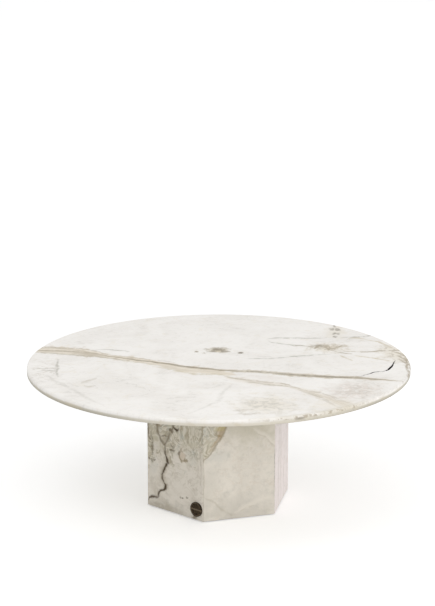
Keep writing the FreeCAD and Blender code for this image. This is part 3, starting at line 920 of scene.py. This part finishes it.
def timber():
    """Planed softwood with its grain along the post."""
    graph = Graph("timber")
    early_wood = screen(222, 190, 142)
    late_wood = screen(190, 148, 98)
    upright = graph.mapped(graph.place, stretch=(70, 70, 4))
    rings = graph.noise(upright, 1, roughness=0.55, distortion=0.8)
    return graph.finish(
        Base_Color=graph.mix(graph.fade(rings, 0.3, 0.7), early_wood, late_wood),
        Roughness=0.68,
        Normal=graph.bump(rings, distance=0.0003, strength=0.3),
    )


def plated_steel():
    """Zinc plating, cloudy and a little blue."""
    graph = Graph("plated_steel")
    spangle = graph.noise(graph.place, 260, detail=3, roughness=0.6)
    bright = screen(186, 190, 194)
    dull = screen(148, 150, 152)
    return graph.finish(
        Base_Color=graph.mix(spangle, bright, dull),
        Metallic=1.0,
        Roughness=graph.ranged(spangle, 0.22, 0.47),
    )


def brass():
    """Turned brass."""
    graph = Graph("brass")
    tarnish = graph.noise(graph.place, 180)
    bright = screen(214, 178, 98)
    dull = screen(168, 132, 70)
    return graph.finish(
        Base_Color=graph.mix(tarnish, bright, dull),
        Metallic=1.0,
        Roughness=graph.ranged(tarnish, 0.25, 0.45),
    )


def foot_plastic():
    """Black moulded nylon with a fine grain."""
    graph = Graph("foot_plastic")
    scuffs = graph.noise(graph.place, 60, detail=5, roughness=0.65)
    black = screen(38, 38, 38)
    scuffed = screen(66, 65, 63)
    grain = graph.noise(graph.place, 1400, detail=3)
    return graph.finish(
        Base_Color=graph.mix(graph.fade(scuffs, 0.5, 0.8), black, scuffed),
        Roughness=graph.ranged(scuffs, 0.42, 0.62),
        Normal=graph.bump(grain, distance=0.0002, strength=0.5),
    )


def clear_rubber():
    """Clear silicone, a little hazy."""
    graph = Graph("clear_rubber")
    haze = graph.noise(graph.place, 120, detail=3)
    pale = screen(226, 226, 222)
    hazy = screen(204, 204, 198)
    return graph.finish(
        Base_Color=graph.mix(haze, pale, hazy),
        Roughness=graph.ranged(haze, 0.25, 0.45),
    )


def wear(node, material):
    """Give a CAD node its material."""
    for slot in frame["nodes"][node].material_slots:
        slot.material = material


def thread_pitch(corner):
    """How far one turn of a foot's stem moves its pad."""
    for coupling in frame["record"]["behaviour"]["couplings"]:
        if coupling["joint"] == "stem_turn_" + corner:
            return 2 * math.pi / coupling["ratio"]


def ring_of(mesh, middle, radius, height, count, first):
    """Points at even steps round a circle, from the first angle on."""
    angles = [first + 2 * math.pi * step / count for step in range(count)]
    spots = [(middle.x + radius * math.cos(a), middle.y + radius * math.sin(a), height) for a in angles]
    return [mesh.verts.new(spot) for spot in spots]


def hexagon_head(mesh, middle, flats, low, high, first):
    """A hexagonal block, with a corner at the first angle."""
    rim = flats / 2 / math.cos(math.pi / HEAD_SIDES)
    bottom = ring_of(mesh, middle, rim, low, HEAD_SIDES, first)
    top = ring_of(mesh, middle, rim, high, HEAD_SIDES, first)
    mesh.faces.new(reversed(bottom))
    mesh.faces.new(top)
    for index in range(HEAD_SIDES):
        after = (index + 1) % HEAD_SIDES
        mesh.faces.new((bottom[index], bottom[after], top[after], top[index]))


def thread_rows(mesh, middle, low, high, pitch):
    """Rows of points that climb one pitch a turn, by turns on the thread's crest and in its root.

    Rows start below the rod and end above it, and are pressed to its ends there.
    """
    crest = STEM_DIAMETER / 2
    root = crest - THREAD_DEPTH
    turns = math.ceil((high - low) / pitch) + THREAD_SPARE_TURNS
    rows = []
    for level in range(THREAD_ROWS * turns + 1):
        row = []
        for step in range(THREAD_STEPS):
            height = low + pitch * (level / THREAD_ROWS - THREAD_SPARE_TURNS + step / THREAD_STEPS)
            on_crest = level % THREAD_ROWS == 0 and low < height < high
            radius = crest if on_crest else root
            angle = 2 * math.pi * step / THREAD_STEPS
            flat = (middle.x + radius * math.cos(angle), middle.y + radius * math.sin(angle))
            row.append(mesh.verts.new((*flat, min(max(height, low), high))))
        rows.append(row)
    return rows


def screwed_rod(mesh, middle, low, high, pitch):
    """A rod with a thread. Where a turn closes, its rows join the rows of the next turn."""
    rows = thread_rows(mesh, middle, low, high, pitch)
    for level in range(len(rows) - 1):
        for step in range(THREAD_STEPS):
            after = (step + 1) % THREAD_STEPS
            climb = THREAD_ROWS if after == 0 else 0
            if level + climb + 1 < len(rows):
                near = rows[level][step], rows[level + 1][step]
                far = rows[level + climb][after], rows[level + climb + 1][after]
                mesh.faces.new((near[0], far[0], far[1], near[1]))
    mesh.faces.new(reversed(rows[0]))
    mesh.faces.new(rows[-1])


def threaded_stem(corner, material):
    """A levelling stem with its hexagon head and a cut thread, in place of the plain one."""
    low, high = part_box("foot_stem_" + corner)
    middle = (low + high) / 2
    flats = min(high.x - low.x, high.y - low.y)
    shoulder = low.z + STEM_HEAD_HEIGHT
    first = 2 * math.pi * CORNERS.index(corner) / len(CORNERS)
    mesh = bmesh.new()
    hexagon_head(mesh, middle, flats, low.z, shoulder, first)
    screwed_rod(mesh, middle, shoulder, high.z, thread_pitch(corner))
    bmesh.ops.remove_doubles(mesh, verts=mesh.verts, dist=MERGE_DISTANCE)
    data = bpy.data.meshes.new("threaded_stem_" + corner)
    mesh.to_mesh(data)
    mesh.free()
    data.materials.append(material)
    stem = bpy.data.objects.new("threaded_stem_" + corner, data)
    bpy.context.scene.collection.objects.link(stem)
    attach(stem, "stem_" + corner)
    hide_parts("foot_stem_" + corner)


def dress():
    """Give every node its material and cut the stems' threads."""
    wear("top_slab", top_stone())
    for name in PANELS:
        wear(name, panel_stone(name))
    wear("medallion", bronze())
    ply = plywood()
    wear("upper_bulkhead", ply)
    wear("lower_bulkhead", ply)
    post = timber()
    pad = foot_plastic()
    steel = plated_steel()
    for corner in CORNERS:
        wear("corner_post_" + corner, post)
        wear("foot_pad_" + corner, pad)
        threaded_stem(corner, steel)
    for name in ("top_bolts", "top_washers", "foot_nuts"):
        wear(name, steel)
    wear("top_inserts", brass())
    wear("bumpers", clear_rubber())


def floor_paper():
    """White paper that is clear from below, and under the hollow of the pedestal."""
    graph = Graph("floor")
    paper = graph.add("ShaderNodeBsdfDiffuse", {"Color": FLOOR_PAPER})
    seen = graph.add("ShaderNodeLightPath").outputs["Is Camera Ray"]
    lift = graph.add("ShaderNodeEmission", {"Strength": graph.math("MULTIPLY", seen, FLOOR_LIFT)})
    white = graph.add("ShaderNodeAddShader", {0: paper.outputs[0], 1: lift.outputs[0]})
    clear = graph.add("ShaderNodeBsdfTransparent")
    below = graph.add("ShaderNodeNewGeometry").outputs["Backfacing"]
    reach = graph.add("ShaderNodeVectorMath", {0: graph.place}, operation="LENGTH").outputs["Value"]
    opening = graph.most(below, graph.math("LESS_THAN", reach, PEDESTAL_HOLLOW))
    sided = graph.add("ShaderNodeMixShader", {0: opening, 1: white.outputs[0], 2: clear.outputs[0]})
    graph.tree.links.new(sided.outputs[0], graph.tree.nodes["Material Output"].inputs["Surface"])
    return graph.material


def lay_floor():
    """A wide white floor that keeps the table's shadow."""
    bpy.ops.mesh.primitive_plane_add(size=FLOOR_SIZE)
    floor = bpy.context.object
    floor.name = "floor"
    floor.data.materials.append(floor_paper())


def light_world():
    """Even light from all round, behind which the background is white."""
    world = bpy.data.worlds.new("studio")
    bpy.context.scene.world = world
    world.use_nodes = True
    tree = world.node_tree
    path = tree.nodes.new("ShaderNodeLightPath")
    background = tree.nodes["Background"]
    background.inputs["Color"].default_value = (1, 1, 1, 1)
    seen = path.outputs["Is Camera Ray"]
    for kind in ("Is Glossy Ray", "Is Transmission Ray"):
        either = tree.nodes.new("ShaderNodeMath")
        either.operation = "MAXIMUM"
        tree.links.new(seen, either.inputs[0])
        tree.links.new(path.outputs[kind], either.inputs[1])
        seen = either.outputs[0]
    strength = tree.nodes.new("ShaderNodeMapRange")
    strength.inputs["To Min"].default_value = WORLD_LIGHT
    strength.inputs["To Max"].default_value = WORLD_SEEN
    tree.links.new(seen, strength.inputs["Value"])
    tree.links.new(strength.outputs["Result"], background.inputs["Strength"])


def add_softbox(name, place, aim, size, power, mirrored):
    """A square soft lamp that looks at a point, and that polished stone mirrors or not."""
    data = bpy.data.lights.new(name, "AREA")
    data.shape = "SQUARE"
    data.size = size
    data.energy = power
    lamp = bpy.data.objects.new(name, data)
    bpy.context.scene.collection.objects.link(lamp)
    lamp.location = place
    lamp.visible_glossy = mirrored
    towards = [end - start for start, end in zip(place, aim)]
    flat = math.hypot(towards[0], towards[1])
    lamp.rotation_euler = (math.atan2(flat, -towards[2]), 0, math.atan2(-towards[0], towards[1]))


def add_camera():
    """The camera at the photograph's angle."""
    data = bpy.data.cameras.new("camera")
    data.sensor_fit = "VERTICAL"
    data.sensor_height = CAMERA_SENSOR
    data.lens = CAMERA_LENS
    camera = bpy.data.objects.new("camera", data)
    bpy.context.scene.collection.objects.link(camera)
    camera.location = CAMERA_PLACE
    camera.rotation_euler = (CAMERA_PITCH, 0, CAMERA_TURN)
    bpy.context.scene.camera = camera


dress()
lay_floor()
light_world()
add_softbox("upper_left", (-2.2, -1.2, 3.2), aim=(0, 0, 0.45), size=2.0, power=17, mirrored=True)
add_softbox("front_right", (2.6, -3.9, 2.1), aim=(0, 0, 0.3), size=2.5, power=66, mirrored=False)
add_camera()
bpy.context.scene.view_settings.view_transform = "Standard"
